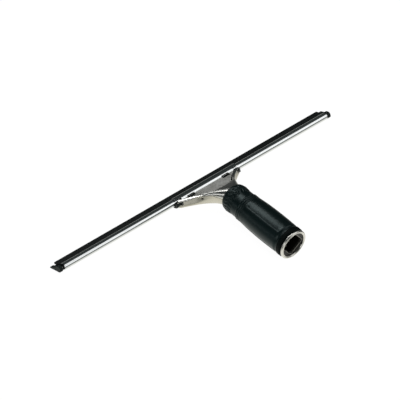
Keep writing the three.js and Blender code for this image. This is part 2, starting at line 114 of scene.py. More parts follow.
BAR_HALF = 41.4
BAR_FRONT = 11.5
BAR_TOP = 4.4
BAR_REAR = 17.3
BAR_FLAT_END = 15
BAR_SHOULDER_W = 16.2
BAR_SHOULDER_RADII = (2.1, 1.9)
BAR_EDGE_DIP = ((0, 0.25), (0.8, 0.03), (1.1, 0))
POLISHED_BAR_REAR = 19.4
PLATE_GAP = 1.4
PLATE_REAR = 36
PLATE_REAR_H = 0.3
PLATE_STEPS = 24
PLATE_CORNER = 3
PLATE_FILLET_W, PLATE_FILLET_H, PLATE_FILLET_RADIUS = 19.7, 2.4, 1.1
WINDOW_INNER = 18
WINDOW_OUTER = 27.6
WINDOW_FRONT = 18.6
WINDOW_REAR = 22.7
WINDOW_CORNER = 0.8

PIN_W, PIN_H, PIN_RADIUS, PIN_HALF = 21.2, -1.2, 1.1, 37
SPRING_WIRE = 0.8
SPRING_TURNS = 5
SPRING_PITCH = SPRING_WIRE * 1.6
SPRING_INSET = 0.9
COIL_STEPS = 10
UPPER_LEG = ((29, -0.4), (25, -0.15))
# How far behind the pin, and how far below the coil.
LOWER_LEG = ((2.2, 0.3), (4, 0.4))
LUG_RADIUS = 2.1
LUG_THICKNESS = 1.6
LUG_PLACES = (-31, -14, 14, 31)
LUG_TOP = ((23, 0.9), (19.4, 0.9))
WEEP_HOLE = (35, 0.2, 1)
WEEP_REACH = 30
CUT_SPARE = 1
CORNER_TRIM_WIDTH = 2.8
CORNER_TRIM = ((17.9, -3.4), (17.9, -7.5), (22.4, -7.5))

COLLAR_W, COLLAR_H, COLLAR_RADIUS = 53.3, -2.25, 11.4
TUBE_LENGTH = 89.7
TUBE_WALL = 1
TUBE_END_RADIUS = 14.2
TUBE_PLAY = 0.05
TUBE_STATIONS = (0.6, 20, 50, 80)
TAPER_START = 20
TAPER_END = 80
LIP_RADIUS = 16.1
LIP_LENGTH = 3
LIP_ROLL = 1.3
# How far inside the lip's radius, and how far behind its start.
LIP_FLARE = ((1.3, 0), (0.9, 0.4), (0.25, 0.9), (0, 1.4))
# Radius, and how far inside the tube's end.
LIP_INSIDE = ((14.0, 0.75), (13.7, 0.3), (13.45, 0.25), (TUBE_END_RADIUS - TUBE_WALL, 0.6))
BEAD_RADIUS = 16.45
BEAD_START = 82
BEAD_END = 85.4
GRIP_END = 86.2

# Places along the grip and radii there.
COLLAR_KNOTS = (
    (0.15, 12.6), (0.7, 13.3), (2.6, 14.3), (6.7, 15.16),
    (9.5, 14.95), (13, 14.5), (17, 14.45), (20.5, 14.55),
)
RIB_PLACES = (21.7, 24.1, 26.5)
RIB_WIDTH = 2.3
RIB_FOOT = 14.7
RIB_HEIGHT = 0.5
RIB_STEPS = 8
BODY_KNOTS = (
    (27.5, 15.1), (30, 15.4), (39, 16.05), (47, 16.35), (54, 16.5), (61, 16.5), (68, 16.45), (77, 16.2),
)
END_GROOVE = ((78, 15.75), (78.6, 15.3), (79.3, 15.3), (79.8, 15.7))
END_BEAD = (
    (80.2, BEAD_RADIUS - 0.25), (80.7, BEAD_RADIUS - 0.05), (81.4, BEAD_RADIUS), (84.2, BEAD_RADIUS),
    (84.8, BEAD_RADIUS - 0.05), (BEAD_END, BEAD_RADIUS - 0.35), (85.9, 15.3), (GRIP_END, 14.9),
)
GRIP_SIDES = 360
PANELS = 4
PANEL_EDGE = math.radians(125)
PANEL_STEP = 0.42
PANEL_START = 29
PANEL_FULL = 34
PANEL_END = 76
# Rows of dashes on the collar: place along the grip, and which way they lean.
DASH_ROWS = ((6.3, 1), (11.6, -1))
DASH_COUNT = 26
DASH_REACH = 2.6
DASH_DEPTH = 0.5
DASH_LEAN = 0.12

SOCKET_DEPTH = 44
SOCKET_FLOOR = 2
SOCKET_RIM = 0.8
SOCKET_RECESS = 2.6
SOCKET_MOUTH_HALF = 8.2
SOCKET_INNER_HALF = 7.2
SOCKET_MOUTH_CORNER = 1.8
SOCKET_INNER_CORNER = 1.6
SOCKET_SIDES = 180
LEAD_IN_HALF = 9.2
LEAD_IN_DEPTH = 1
# Ring of the socket whose band carries the painted highlight.
HIGHLIGHT_BAND_RING = 4
SOCKET_TURN = math.radians(39)

SECTION_KEYS = ("w", "tilt", "half", "floor", "seam", "skirt", "crown", "corner")
HEAD_SECTIONS = (
    (PAN_FRONT, 0, 41, -5.6, 0.9, 1.6, 3, 3),
    (24, 0, 34, -5.8, 0.9, 2, 3.4, 3.2),
    (30, 0, 26.5, -6.4, 2.2, 2.5, 4, 4),
    (36, math.radians(5), 21.1, -7.6, 2.7, 3, 4.9, 6.5),
    (44, math.radians(15), 16, -10.4, 2.4, 2.7, 7.2, 10.5),
    (COLLAR_W - COLLAR_H * math.tan(BEND), BEND, COLLAR_RADIUS, -13.87, -1.5, -1.2, 8.93, COLLAR_RADIUS),
)

# ---- places, from the frame ----
blade_low, blade_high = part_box("rubber_blade")
grip_low, grip_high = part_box("rubber_grip")
BLADE_X = (blade_low.x + blade_high.x) / 2
HANDLE_X = (grip_low.x + grip_high.x) / 2
EDGE_Y = blade_high.y - RUBBER_THICKNESS * math.sin(BLADE_TILT) * MM


def on_blade(x, w, h, centre=BLADE_X):
    """Blade coordinates (along, from the edge back, up) to the row's frame."""
    y = -w * math.cos(BLADE_TILT) + h * math.sin(BLADE_TILT)
    z = w * math.sin(BLADE_TILT) + h * math.cos(BLADE_TILT)
    return Vector((centre + x * MM, EDGE_Y + y * MM, z * MM))


def blade_w(point):
    """How far a point lies behind the rubber's edge, in millimetres."""
    return ((EDGE_Y - point.y) * math.cos(BLADE_TILT) + point.z * math.sin(BLADE_TILT)) / MM


def on_head(x, w, h):
    return on_blade(x, w, h, HANDLE_X)


GRIP_AXIS = Vector((0, -math.cos(GRIP_SLOPE), -math.sin(GRIP_SLOPE)))
GRIP_UP = Vector((0, -math.sin(GRIP_SLOPE), math.cos(GRIP_SLOPE)))
GRIP_START = on_head(0, COLLAR_W, COLLAR_H)
GRIP_START.z = (BEAD_RADIUS * math.cos(GRIP_SLOPE) + BEAD_END * math.sin(GRIP_SLOPE)) * MM


def on_grip(along, radius, angle):
    """A point around the grip's axis; angle 0 is +X and 90 degrees is the top."""
    around = Vector((math.cos(angle), 0, 0)) + GRIP_UP * math.sin(angle)
    return GRIP_START + GRIP_AXIS * along * MM + around * radius * MM


# ---- camera ----
CAMERA_UP = Vector((0.4219, 0.5229, 0.7407))
CAMERA_BACK = Vector((-0.5345, -0.5164, 0.6691))
LENS = 1500
SENSOR = 36
FRAME_WIDTH = 391.4


def make_camera():
    data = bpy.data.cameras.new("camera")
    data.lens = LENS
    data.sensor_width = SENSOR
    camera = bpy.data.objects.new("camera", data)
    bpy.context.scene.collection.objects.link(camera)
    back = CAMERA_BACK.normalized()
    right = CAMERA_UP.cross(back).normalized()
    up = back.cross(right)
    target = on_blade(0, 0, RUBBER_THICKNESS) + (13.94 * right - 13.26 * up) * MM
    distance = FRAME_WIDTH * MM * LENS / SENSOR
    camera.matrix_world = matrix_of(right, up, back, target + back * distance)
    bpy.context.scene.camera = camera


def matrix_of(right, up, back, place):
    rows = [[right[i], up[i], back[i], place[i]] for i in range(3)]
    return Matrix(rows + [[0, 0, 0, 1]])


make_camera()


# ---- mesh tools ----
def new_piece(name, shape, body, material, replaces):
    """A smooth-shaded piece from (points, faces); it rides on body, unless body is None."""
    points, faces = shape
    mesh = bpy.data.meshes.new(name)
    mesh.from_pydata([tuple(p) for p in points], [], faces)
    mesh.validate()
    work = bmesh.new()
    work.from_mesh(mesh)
    bmesh.ops.remove_doubles(work, verts=work.verts, dist=1e-7)
    bmesh.ops.recalc_face_normals(work, faces=work.faces)
    work.to_mesh(mesh)
    work.free()
    for face in mesh.polygons:
        face.use_smooth = True
    piece = bpy.data.objects.new(name, mesh)
    bpy.context.scene.collection.objects.link(piece)
    mesh.materials.append(material)
    if body:
        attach(piece, body)
    for node in replaces:
        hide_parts(node)
    return piece


def skin(rings, closed_rings=True, caps=True):
    """Points and faces of a surface through equal rings of points."""
    count = len(rings[0])
    points = [p for ring in rings for p in ring]
    steps = count if closed_rings else count - 1
    faces = []
    for k in range(len(rings) - 1):
        for i in range(steps):
            a, b = k * count + i, k * count + (i + 1) % count
            faces.append((a, b, b + count, a + count))
    if caps and closed_rings:
        faces.append(tuple(range(count - 1, -1, -1)))
        faces.append(tuple(range((len(rings) - 1) * count, len(rings) * count)))
    return points, faces


def joined(skins):
    """Several skins as one."""
    points, faces = [], []
    for more, more_faces in skins:
        base = len(points)
        points += more
        faces += [tuple(base + i for i in face) for face in more_faces]
    return points, faces


def bevel(piece, width, segments, angle):
    modifier = piece.modifiers.new("bevel", "BEVEL")
    modifier.width = width * MM
    modifier.segments = segments
    modifier.limit_method = "ANGLE"
    modifier.angle_limit = math.radians(angle)
    modifier.use_clamp_overlap = True
    return piece


def thicken(piece):
    """Give a surface the thickness of the head's sheet, half to each side."""
    modifier = piece.modifiers.new("sheet", "SOLIDIFY")
    modifier.thickness = HEAD_SHEET * MM
    modifier.offset = 0
    return piece


def weigh_normals(piece):
    modifier = piece.modifiers.new("normals", "WEIGHTED_NORMAL")
    modifier.keep_sharp = True
    return piece


def apply_modifiers(piece):
    bpy.context.view_layer.update()
    graph = bpy.context.evaluated_depsgraph_get()
    mesh = bpy.data.meshes.new_from_object(piece.evaluated_get(graph), depsgraph=graph)
    piece.modifiers.clear()
    piece.data = mesh
    return piece


def drill(piece, cutters):
    """Cut temporary closed meshes out of a piece, one after another."""
    for points, faces in cutters:
        mesh = bpy.data.meshes.new("cutter")
        mesh.from_pydata([tuple(p) for p in points], [], faces)
        work = bmesh.new()
        work.from_mesh(mesh)
        bmesh.ops.recalc_face_normals(work, faces=work.faces)
        work.to_mesh(mesh)
        work.free()
        cutter = bpy.data.objects.new("cutter", mesh)
        bpy.context.scene.collection.objects.link(cutter)
        modifier = piece.modifiers.new("cut", "BOOLEAN")
        modifier.operation = "DIFFERENCE"
        modifier.solver = "EXACT"
        modifier.object = cutter
        apply_modifiers(piece)
        bpy.data.objects.remove(cutter)
    for face in piece.data.polygons:
        face.use_smooth = True
    return piece


def arc(cx, cy, rx, ry, start, end, steps):
    angles = [start + (end - start) * i / steps for i in range(steps + 1)]
    return [(cx + rx * math.cos(a), cy + ry * math.sin(a)) for a in angles]


def sheet_outline(line, thickness, cap_steps=6):
    """A ribbon of sheet round a centre line, with round ends."""
    half = thickness / 2
    left, right, normals = [], [], []
    for i, (x, y) in enumerate(line):
        x0, y0 = line[max(i - 1, 0)]
        x1, y1 = line[min(i + 1, len(line) - 1)]
        length = math.hypot(x1 - x0, y1 - y0)
        nx, ny = -(y1 - y0) / length, (x1 - x0) / length
        normals.append(math.atan2(ny, nx))
        left.append((x + nx * half, y + ny * half))
        right.append((x - nx * half, y - ny * half))

    def cap(place, start):
        turn = [start - math.pi * (k + 1) / (cap_steps + 1) for k in range(cap_steps)]
        return [(place[0] + half * math.cos(a), place[1] + half * math.sin(a)) for a in turn]

    return left + cap(line[-1], normals[-1]) + right[::-1] + cap(line[0], normals[0] + math.pi)


def round_corners(corners, radius, steps=4):
    """Replace each corner of a closed outline by a short arc."""
    points = []
    count = len(corners)
    for i, corner in enumerate(corners):
        here = Vector(corner)
        before = Vector(corners[i - 1]) - here
        after = Vector(corners[(i + 1) % count]) - here
        reach = min(radius, before.length / 2.2, after.length / 2.2)
        start = here + before.normalized() * reach
        end = here + after.normalized() * reach
        for k in range(steps + 1):
            t = k / steps
            point = start * (1 - t) ** 2 + here * 2 * t * (1 - t) + end * t ** 2
            points.append((point.x, point.y))
    return points


def smooth_line(knots, steps):
    """Catmull-Rom curve through a list of equal tuples."""
    points = []
    last = len(knots) - 1
    for i in range(last):
        p0, p1 = knots[max(i - 1, 0)], knots[i]
        p2, p3 = knots[i + 1], knots[min(i + 2, last)]
        for k in range(steps):
            points.append(tuple(cubic(a, b, c, d, k / steps) for a, b, c, d in zip(p0, p1, p2, p3)))
    points.append(tuple(knots[-1]))
    return points


def cubic(p0, p1, p2, p3, t):
    m1 = (p2 - p0) / 2
    m2 = (p3 - p1) / 2
    return (((2 * p1 - 2 * p2 + m1 + m2) * t - 3 * p1 + 3 * p2 - 2 * m1 - m2) * t + m1) * t + p1


def tube_skin(path, radius, sides=12):
    """A round wire along a list of points, with closed ends."""
    rings = []
    side = None
    for i, point in enumerate(path):
        ahead = (path[min(i + 1, len(path) - 1)] - path[max(i - 1, 0)]).normalized()
        if side is None:
            side = ahead.orthogonal().normalized()
        side = (side - ahead * side.dot(ahead)).normalized()
        other = ahead.cross(side)
        turn = [2 * math.pi * k / sides for k in range(sides)]
        rings.append([point + (side * math.cos(a) + other * math.sin(a)) * radius for a in turn])
    return skin(rings)


# ---- materials ----
def new_material(name):
    material = bpy.data.materials.new(name)
    material.use_nodes = True
    nodes = material.node_tree.nodes
    shader = nodes["Principled BSDF"]
    return material, nodes, material.node_tree.links, shader


def object_noise(nodes, links, scale, detail, stretch=(1, 1, 1), roughness=0.5):
    place = nodes.new("ShaderNodeTexCoord")
    mapping = nodes.new("ShaderNodeMapping")
    mapping.inputs["Scale"].default_value = stretch
    noise = nodes.new("ShaderNodeTexNoise")
    noise.inputs["Scale"].default_value = scale
    noise.inputs["Detail"].default_value = detail
    noise.inputs["Roughness"].default_value = roughness
    links.new(place.outputs["Object"], mapping.inputs["Vector"])
    links.new(mapping.outputs["Vector"], noise.inputs["Vector"])
    return noise


def ramp_to(nodes, links, source, target, low, high, start=0.3, end=0.7):
    """Map a 0..1 value between two numbers or two colours."""
    ramp = nodes.new("ShaderNodeValToRGB")
    ramp.color_ramp.elements[0].position = start
    ramp.color_ramp.elements[1].position = end
    for element, value in zip(ramp.color_ramp.elements, (low, high)):
        element.color = (*value, 1) if isinstance(value, tuple) else (value, value, value, 1)
    links.new(source, ramp.inputs["Fac"])
    links.new(ramp.outputs["Color"], target)


def bump_chain(nodes, links, shader, layers):
    """Bumps one over another; each layer is (height output, distance in metres, strength)."""
    last = None
    for height, distance, strength in layers:
        node = nodes.new("ShaderNodeBump")
        node.inputs["Distance"].default_value = distance
        node.inputs["Strength"].default_value = strength
        links.new(height, node.inputs["Height"])
        if last:
            links.new(last.outputs["Normal"], node.inputs["Normal"])
        last = node
    links.new(last.outputs["Normal"], shader.inputs["Normal"])


def steel(name, colour, dark, rough_low, rough_high, stretch, line_strength, smear=38, metallic=1):
    """Stainless steel with drawn lines, smears of two shades and faint waves."""
    material, nodes, links, shader = new_material(name)
    shader.inputs["Metallic"].default_value = metallic
    smears = object_noise(nodes, links, smear, 5)
    lines = object_noise(nodes, links, 900, 6, stretch, 0.7)
    waves = object_noise(nodes, links, 60, 2)
    ramp_to(nodes, links, smears.outputs["Fac"], shader.inputs["Base Color"], dark, colour)
    ramp_to(nodes, links, smears.outputs["Fac"], shader.inputs["Roughness"], rough_high, rough_low)
    bump_chain(nodes, links, shader, [
        (waves.outputs["Fac"], 0.0001, 0.08),
        (lines.outputs["Fac"], 0.00003, line_strength),
    ])
    return material


def moulded(name, colour, light, rough_low, rough_high, grain, grain_depth, specular, tint=(1, 1, 1)):
    """Rubber or plastic with fine moulded grain and slightly cloudy colour."""
    material, nodes, links, shader = new_material(name)
    shader.inputs["Specular IOR Level"].default_value = specular
    shader.inputs["Specular Tint"].default_value = (*tint, 1)
    cloud = object_noise(nodes, links, 45, 4)
    fine = object_noise(nodes, links, grain, 3, roughness=0.6)
    ramp_to(nodes, links, cloud.outputs["Fac"], shader.inputs["Base Color"], colour, light)
    ramp_to(nodes, links, fine.outputs["Fac"], shader.inputs["Roughness"], rough_low, rough_high)
    bump_chain(nodes, links, shader, [(fine.outputs["Fac"], grain_depth, 0.5)])
    return material


CHANNEL_STEEL = steel(
    "channel_steel", (0.86, 0.88, 0.88), (0.80, 0.82, 0.82), 0.07, 0.12, (0.01, 1, 1), 0.12)
BRIGHT_STEEL = steel(
    "bright_steel", (0.84, 0.84, 0.80), (0.74, 0.74, 0.70), 0.12, 0.22, (1, 0.05, 1), 0.15)
SATIN_STEEL = steel(
    "satin_steel", (0.66, 0.64, 0.55), (0.50, 0.48, 0.40), 0.24, 0.36, (0.03, 1, 1), 0.5)
PLATE_STEEL = steel(
    "plate_steel", (0.95, 0.95, 0.91), (0.42, 0.42, 0.39), 0.36, 0.56, (0.3, 1, 1), 0.6, 110, 0.6)
RIM_STEEL = steel(
    "rim_steel", (0.86, 0.85, 0.80), (0.72, 0.71, 0.66), 0.24, 0.34, (1, 0.05, 1), 0.12)
SPRING_STEEL = steel(
    "spring_steel", (0.42, 0.42, 0.40), (0.24, 0.24, 0.23), 0.22, 0.38, (1, 1, 1), 0.3)
BLADE_RUBBER = moulded(
    "blade_rubber", (0.003, 0.005, 0.005), (0.007, 0.010, 0.010), 0.45, 0.6, 1400, 0.00002, 0.18)
GRIP_RUBBER = moulded(
    "grip_rubber", (0.002, 0.007, 0.007), (0.005, 0.012, 0.013), 0.27, 0.36, 2200, 0.00004, 0.3, (0.8, 1, 1))
# Rubber at the grip's end before the ring: its darker colour is painted shade, its low specular and higher
# roughness make it duller.
GRIP_END_SHADED_RUBBER = moulded(
    "grip_end_rubber_painted_shade", (0.001, 0.003, 0.003), (0.003, 0.006, 0.006), 0.5, 0.65, 2200, 0.00004, 0.08)
SOCKET_PLASTIC = moulded(
    "socket_plastic", (0.003, 0.003, 0.002), (0.007, 0.006, 0.004), 0.30, 0.42, 700, 0.00004, 0.3)
# Whitish lead-in band of the socket: a painted highlight along the mouth's edge.
SOCKET_EDGE_HIGHLIGHT = moulded(
    "socket_edge_painted_highlight", (0.20, 0.196, 0.168), (0.28, 0.274, 0.235), 0.22, 0.34, 700, 0.00002, 0.5)
# Black plastic: the end clips' own colour, and on the liner and cheeks a stand-in for shade.
BLACK_PLASTIC_AND_SHADE = moulded(
    "black_plastic", (0.006, 0.011, 0.010), (0.011, 0.018, 0.017), 0.35, 0.5, 900, 0.00003, 0.2)


# ---- the blade: channel, rubber and end clips ----
def extruded(outline, xs, place=on_blade):
    return skin([[place(x, w, h) for w, h in outline] for x in xs])


def make_channel():
    half = CHANNEL_SHEET / 2
    top, back, bottom = CHANNEL_TOP - half, CHANNEL_BACK - half, CHANNEL_BOTTOM + half
    middle, turn = CHANNEL_MIDDLE, math.pi / 2
    upper, lower = CHANNEL_TOP_FLAT_END, CHANNEL_BOTTOM_FLAT_END
    line = [(CHANNEL_FRONT + behind, top - dip) for behind, dip in CHANNEL_EDGE_DIP]
    line += arc(upper, middle, back - upper, top - middle, turn, 0, 20)
    line += arc(lower, middle, back - lower, middle - bottom, -turn / 20, -turn, 18)
    line += smooth_line(CHANNEL_LOWER_LIP, 4)
    end = CHANNEL_LENGTH / 2
    outline = sheet_outline(line, CHANNEL_SHEET)
    piece = new_piece(
        "channel_body", extruded(outline, (-end, end)), "blade", CHANNEL_STEEL, ["channel"])
    weigh_normals(bevel(piece, 0.12, 2, 50))


def make_rubber():
    end = CHANNEL_LENGTH / 2
    strip = extruded(round_corners(RUBBER_OUTLINE, 0.15), (-end, end))
    piece = new_piece("wiping_rubber", strip, "blade", BLADE_RUBBER, ["rubber_blade"])
    weigh_normals(bevel(piece, 0.1, 2, 60))


def make_clip(side, gap, name, body, node):
    """An end clip: its face, a shelf under the rubber and a tongue in the channel."""
    end = CHANNEL_LENGTH / 2
    face = end + gap
    parts = (
        (CLIP_OUTLINE, 0.5, face, face + CLIP_FLANGE),
        (CLIP_SHELF, 0.2, end - CLIP_SHELF_REACH, face + CLIP_ROOT),
        (CLIP_TONGUE_OUTLINE, 0.2, end - CLIP_TONGUE, face + CLIP_ROOT),
    )
    skins = [
        extruded(round_corners(outline, corner), (side * start, side * stop))
        for outline, corner, start, stop in parts
    ]
    piece = new_piece(name, joined(skins), body, BLACK_PLASTIC_AND_SHADE, [node])
    weigh_normals(bevel(piece, 0.35, 3, 50))


# ---- the head ----
def section_at(t):
    last = len(HEAD_SECTIONS) - 1
    place = min(int(t * last), last - 1)
    picks = [HEAD_SECTIONS[min(max(place + i, 0), last)] for i in (-1, 0, 1, 2)]
    values = [cubic(*column, t * last - place) for column in zip(*picks)]
    return dict(zip(SECTION_KEYS, values))


def head_sections(steps):
    sections = [section_at(i / steps) for i in range(steps + 1)]
    for i, section in enumerate(sections):
        before, after = sections[max(i - 1, 0)], sections[min(i + 1, steps)]
        slope = (after["half"] - before["half"]) / (after["w"] - before["w"])
        section["stretch"] = math.sqrt(1 + slope * slope)
    return sections


SECTIONS = head_sections(90)


def in_section(section, x, v):
    return on_head(x, section["w"] + v * math.sin(section["tilt"]), v * math.cos(section["tilt"]))


def plan_half(w, inset):
    """Half-width of the head at w, drawn in by a distance square to its edge."""
    for before, after in zip(SECTIONS, SECTIONS[1:]):
        if w <= after["w"]:
            t = max((w - before["w"]) / (after["w"] - before["w"]), -2)
            half = before["half"] + (after["half"] - before["half"]) * t
            stretch = before["stretch"] + (after["stretch"] - before["stretch"]) * t
            return half - inset * stretch
    return SECTIONS[-1]["half"] - inset


def u_ring(half, edge, base, corner, stretch, wall):
    """A U of sheet: outer and inner line with round corners, closed by rounded top edges."""
    up = math.copysign(1, edge - base)

    def line(a, b, r):
        radius = max(min(r, a - 0.2, abs(edge - b)), 0.2)
        side = arc(a - radius, b + up * radius, radius, up * radius, 0, -math.pi / 2, 12)
        right = [(a, edge - up * 0.25)] + side
        return right + [(-x, y) for x, y in reversed(right)]

    outer = line(half, base, corner)
    inner = line(half - wall * stretch, base + up * wall, corner - wall)
    middle = half - wall * stretch / 2
    quarter = wall * stretch / 4
    left_top = [(-middle - quarter, edge - up * 0.05), (-middle, edge), (-middle + quarter, edge - up * 0.05)]
    right_top = [(-x, y) for x, y in reversed(left_top)]
    return outer + left_top + inner[::-1] + right_top


def cylinder(w, h, radius, x0, x1, sides=32):
    outline = arc(w, h, radius, radius, 0, 2 * math.pi * (sides - 1) / sides, sides - 1)
    return extruded(outline, (x0, x1), on_head)


def make_pan():
    rings = []
    for s in SECTIONS:
        ring = u_ring(s["half"], s["seam"], s["floor"], s["corner"], s["stretch"], HEAD_SHEET)
        rings.append([in_section(s, x, v) for x, v in ring])
    piece = new_piece("pan_shell", skin(rings), "handle", SATIN_STEEL, ["lower_pan"])
    pin_reach = BAR_HALF + CUT_SPARE
    holes = [
        cylinder(PIN_W, PIN_H, PIN_RADIUS + CLEARANCE, -pin_reach, pin_reach),
        cylinder(*WEEP_HOLE, -WEEP_REACH, WEEP_REACH),
    ]
    for side in (-1, 1):
        xs = (side * (HEAD_SECTIONS[0][2] - CORNER_TRIM_WIDTH), side * (BAR_HALF + 2 * CUT_SPARE))
        holes.append(extruded(CORNER_TRIM, xs, on_head))
    weigh_normals(bevel(drill(piece, holes), 0.15, 2, 40))


def make_jaw_lip():
    height = HEAD_SECTIONS[0][3] + HEAD_SHEET / 2
    half = HEAD_SECTIONS[0][2] - JAW_LIP_INSET
    line = [(JAW_LIP_FRONT + HEAD_SHEET / 2, height), (PAN_FRONT + JAW_LIP_LAP, height)]
    strip = extruded(sheet_outline(line, JAW_LIP_SHEET), (-half, half), on_head)
    piece = new_piece("jaw_lip", strip, "handle", SATIN_STEEL, ["lower_pan"])
    weigh_normals(bevel(piece, 0.15, 2, 50))


def saddle_half_line(section, shoulder_steps=16, crown_steps=9):
    """Right half of the saddle's middle surface: skirt, sloping shoulder, crown to the centre."""
    wall = HEAD_SHEET / 2
    half = section["half"] - wall * section["stretch"]
    crown = section["crown"] - wall
    radius = max(min(section["corner"] - wall, crown - section["skirt"], half - 0.2), 0.25)
    line = [(half, section["seam"] + CLEARANCE)]
    reach = max(radius, min(RIM_SLOPE, half / 2))
    straight = RIM_FLATNESS * min((reach - radius) / radius, 1)
    shoulder = arc(half - reach, crown - radius, reach, radius, 0, math.pi / 2, shoulder_steps)
    for k, (x, h) in enumerate(shoulder):
        share = k / shoulder_steps
        line.append((
            x + (half - reach * share - x) * straight,
            h + (crown - radius + radius * share - h) * straight,
        ))
    flat = half - reach
    line += [(flat * (1 - k / crown_steps), crown) for k in range(1, crown_steps + 1)]
    return line


def cut_line(line, x_stop, count):
    """Resample a line from its start to where x falls to x_stop."""
    kept = [line[0]]
    for (x0, y0), (x1, y1) in zip(line, line[1:]):
        if x1 < x_stop:
            t = (x0 - x_stop) / (x0 - x1) if x0 > x1 else 0
            kept.append((x_stop, y0 + (y1 - y0) * t))
            break
        kept.append((x1, y1))
    lengths = [0]
    for (x0, y0), (x1, y1) in zip(kept, kept[1:]):
        lengths.append(lengths[-1] + math.hypot(x1 - x0, y1 - y0))
    points = []
    for i in range(count + 1):
        goal = lengths[-1] * i / count
        k = next(j for j in range(1, len(lengths)) if lengths[j] >= goal - 1e-9)
        span = lengths[k] - lengths[k - 1]
        t = (goal - lengths[k - 1]) / span if span else 0
        (x0, y0), (x1, y1) = kept[k - 1], kept[k]
        points.append((x0 + (x1 - x0) * t, y0 + (y1 - y0) * t))
    return points


def opening_half(w):
    """Half-width of the saddle's opening at w, closing in a round throat."""
    if w <= THROAT_START:
        return plan_half(w, RIM_WIDTH)
    share = min((w - THROAT_START) / (THROAT_END - THROAT_START), 1)
    return plan_half(THROAT_START, RIM_WIDTH) * math.sqrt(max(1 - share * share, 0))


def make_saddle():
    count = 22
    rows = []
    for section in SECTIONS:
        lean = section["crown"] * math.sin(section["tilt"])
        stop = opening_half(section["w"] + lean)
        right = cut_line(saddle_half_line(section), stop, count)
        rows.append([in_section(section, x, v) for x, v in right])
    points = [p for row in rows for p in row]
    base = len(points)
    points += [Vector((2 * HANDLE_X - p.x, p.y, p.z)) for p in points]
    faces = []
    for k in range(len(rows) - 1):
        for i in range(count):
            a, b = k * (count + 1) + i, (k + 1) * (count + 1) + i
            faces.append((a, a + 1, b + 1, b))
            faces.append((base + a, base + b, base + b + 1, base + a + 1))
    piece = new_piece(
        "saddle_shell", (points, faces), "handle", BRIGHT_STEEL, ["upper_saddle"])
    weigh_normals(bevel(thicken(piece), 0.3, 3, 50))


def shade_cheek_rings(side):
    """Rings of a black cheek put where shade falls beside the jaw: straight beside the jaw, then outside the
    pan's wall.
    """
    under = CHANNEL_BOTTOM - CLEARANCE
    start = under - SHADE_LINER_SHEET
    behind = CHANNEL_BACK + CLEARANCE
    inner, outer = BAR_HALF - 0.3, BAR_HALF + SHADE_CHEEK_SHEET
    places = [(SHADE_LINER_FRONT, inner, outer, SHADE_CHEEK_FLOOR + 0.3, under)]
    places += [(w, inner, outer, SHADE_CHEEK_FLOOR, under) for w in (SHADE_LINER_FRONT + 0.6, behind - 0.05)]
    places += [(behind, inner, outer, SHADE_CHEEK_FLOOR + 0.1, SHADE_CHEEK_TOP)]
    places += [(SHADE_LINER_REAR - 0.4, inner, outer, start, SHADE_CHEEK_TOP)]
    for s in SECTIONS:
        if not SHADE_LINER_REAR < s["w"] < SHADE_CHEEK_REAR:
            continue
        rise = (s["w"] - SHADE_LINER_REAR) / (SHADE_CHEEK_REAR - SHADE_LINER_REAR)
        low = start + (SHADE_CHEEK_TOP - 0.2 - start) * rise
        near = s["half"] + CLEARANCE * s["stretch"]
        far = s["half"] + (CLEARANCE + SHADE_CHEEK_SHEET) * s["stretch"]
        places.append((s["w"], near, far, low, SHADE_CHEEK_TOP))
    rings = []
    for w, near, far, low, high in places:
        corners = [(near, low), (far, low), (far, high), (near, high)]
        rings.append([on_head(side * x, w, h) for x, h in corners])
    return rings


# The liner strip and its cheeks are black pieces put where the jaw's shade falls.
def make_shade_liner():
    top = CHANNEL_BOTTOM - CLEARANCE
    low = top - SHADE_LINER_SHEET
    behind = CHANNEL_BACK + CLEARANCE
    corners = [
        (SHADE_LINER_FRONT, low), (SHADE_LINER_REAR, low), (SHADE_LINER_REAR, SHADE_LINER_TOP),
        (behind, SHADE_LINER_TOP), (behind, top), (SHADE_LINER_FRONT, top),
    ]
    skins = [extruded(round_corners(corners, 0.2), (-BAR_HALF, BAR_HALF), on_head)]
    skins += [skin(shade_cheek_rings(side)) for side in (-1, 1)]
    piece = new_piece("shade_liner_strip", joined(skins), "handle", BLACK_PLASTIC_AND_SHADE, ["jaw_liner"])
    weigh_normals(bevel(piece, 0.15, 2, 50))


def lever_line():
    """Middle line of the lever's sheet from the bar's front edge to the plate's rear."""
    top = BAR_TOP - HEAD_SHEET / 2
    wide, deep = BAR_SHOULDER_RADII
    fillet = PLATE_FILLET_RADIUS
    line = [(BAR_FRONT + behind, top - dip) for behind, dip in BAR_EDGE_DIP]
    line += [(BAR_FLAT_END, top)]
    line += arc(BAR_SHOULDER_W, top - deep, wide, deep, math.pi / 2, math.pi / 10, 16)
    line += arc(PLATE_FILLET_W, PLATE_FILLET_H, fillet, fillet, math.pi * 1.15, math.pi * 1.5, 10)
    w, h = line[-1]
    for k in range(1, PLATE_STEPS + 1):
        line.append((w + (PLATE_REAR - w) * k / PLATE_STEPS, h + (PLATE_REAR_H - h) * k / PLATE_STEPS))
    return line


